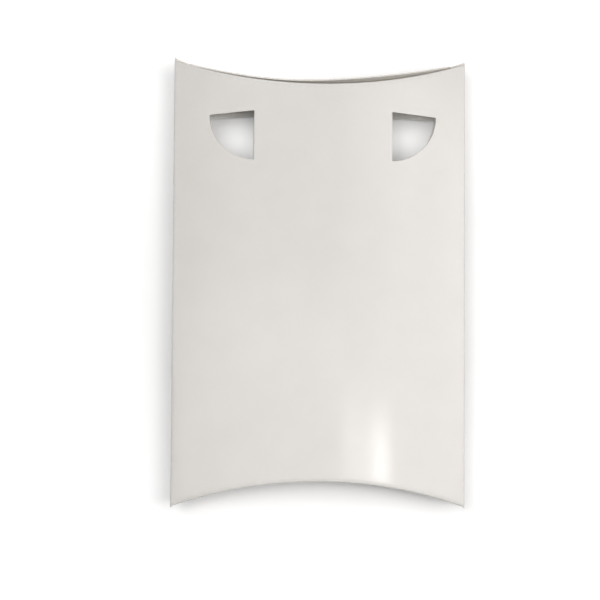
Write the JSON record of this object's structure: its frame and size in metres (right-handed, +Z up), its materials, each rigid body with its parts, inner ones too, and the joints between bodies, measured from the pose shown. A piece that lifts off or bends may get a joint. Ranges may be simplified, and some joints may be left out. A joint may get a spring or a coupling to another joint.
{
  "type": "pillow box",
  "caption": "Pillow-shaped folding carton of glossy white board: two arched panels, curved end flaps tucked one over the other, quarter-round window pair near one end.",
  "frame": {"origin": "middle of the closed box in plan, at the height of the back panel's crown, which it lies on", "axes": "+Z up out of the front panel's crown, +Y along the box to the end with the windows, X across it with the glued seam at +X"},
  "size_m": [0.085, 0.13, 0.016],
  "materials": {
    "coated_board": "gloss coated outside, matt uncoated inside",
    "glue": "dried white glue"
  },
  "bodies": {
    "sleeve": {"front_panel": "coated_board", "back_panel": "coated_board", "left_fold": "coated_board", "seam_fold": "coated_board", "glue_flap": "coated_board", "glue_line": "glue", "top_inner_crease": "coated_board", "top_outer_crease": "coated_board", "bottom_inner_crease": "coated_board", "bottom_outer_crease": "coated_board"},
    "top_outer": {"top_outer_flap": "coated_board"},
    "top_inner": {"top_inner_flap": "coated_board"},
    "bottom_outer": {"bottom_outer_flap": "coated_board"},
    "bottom_inner": {"bottom_inner_flap": "coated_board"}
  },
  "joints": [
    {"name": "top_outer_hinge", "type": "hinge", "parent": "sleeve", "child": "top_outer", "pos_m": [0, 0.05735, 0.0002], "axis": [-1, 0, 0], "range_deg": [0, 90]},
    {"name": "top_inner_hinge", "type": "hinge", "parent": "sleeve", "child": "top_inner", "pos_m": [0, 0.0566, 0.0158], "axis": [1, 0, 0], "range_deg": [0, 60]},
    {"name": "bottom_outer_hinge", "type": "hinge", "parent": "sleeve", "child": "bottom_outer", "pos_m": [0, -0.05735, 0.0158], "axis": [-1, 0, 0], "range_deg": [0, 90]},
    {"name": "bottom_inner_hinge", "type": "hinge", "parent": "sleeve", "child": "bottom_inner", "pos_m": [0, -0.0566, 0.0002], "axis": [1, 0, 0], "range_deg": [0, 60]}
  ],
  "couplings": [
    {"joint": "top_inner_hinge", "follows": "top_outer_hinge", "ratio": 0.6666},
    {"joint": "bottom_inner_hinge", "follows": "bottom_outer_hinge", "ratio": 0.6666}
  ]
}
